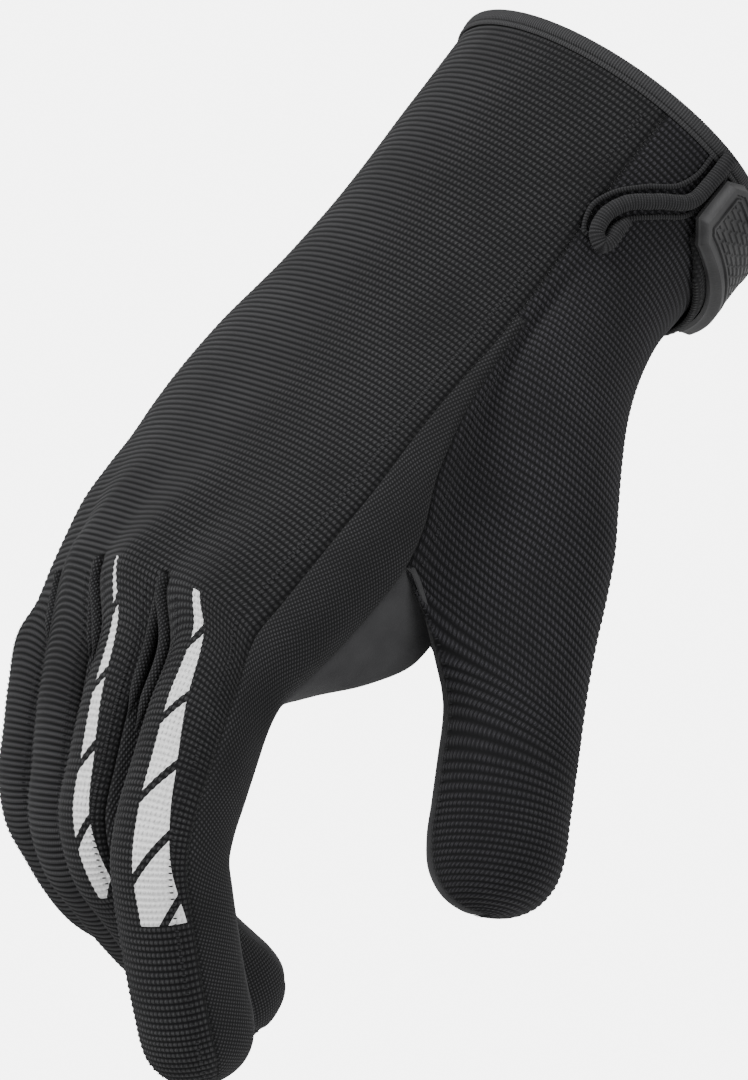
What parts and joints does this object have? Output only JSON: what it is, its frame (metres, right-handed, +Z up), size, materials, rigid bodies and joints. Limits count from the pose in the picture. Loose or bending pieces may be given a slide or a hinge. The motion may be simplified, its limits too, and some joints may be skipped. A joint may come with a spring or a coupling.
{
  "type": "motocross glove",
  "caption": "Right-hand riding glove in its worn form, with curled fingers, an open bound cuff and a fastened wrist strap.",
  "frame": {"origin": "centre of the cuff opening, in the plane of its edge", "axes": "+Z up the arm, out of the cuff; +X towards the thumb side; +Y towards the palm side, so the fingers point down and curl towards +Y"},
  "size_m": [0.1202, 0.0994, 0.2142],
  "materials": {
    "back_knit": "ribbed knit, matt black",
    "thumb_knit": "ribbed knit, matt black",
    "suede": "synthetic suede, matt",
    "index_mesh": "fine stretch mesh, matt",
    "mesh_index_middle": "fine stretch mesh, matt",
    "mesh_middle_ring": "fine stretch mesh, matt",
    "mesh_ring_little": "fine stretch mesh, matt",
    "binding_elastic": "knitted binding tape",
    "strap_webbing": "woven strap, matt",
    "badge_rubber": "moulded soft rubber, satin"
  },
  "bodies": {
    "root": {"back_panel": "back_knit", "thumb_panel": "thumb_knit", "palm_panel": "suede", "index_side_gusset": "index_mesh", "gusset_index_middle": "mesh_index_middle", "gusset_middle_ring": "mesh_middle_ring", "gusset_ring_little": "mesh_ring_little", "cuff_binding": "binding_elastic", "wrist_strap": "strap_webbing", "strap_badge": "badge_rubber"}
  },
  "joints": []
}
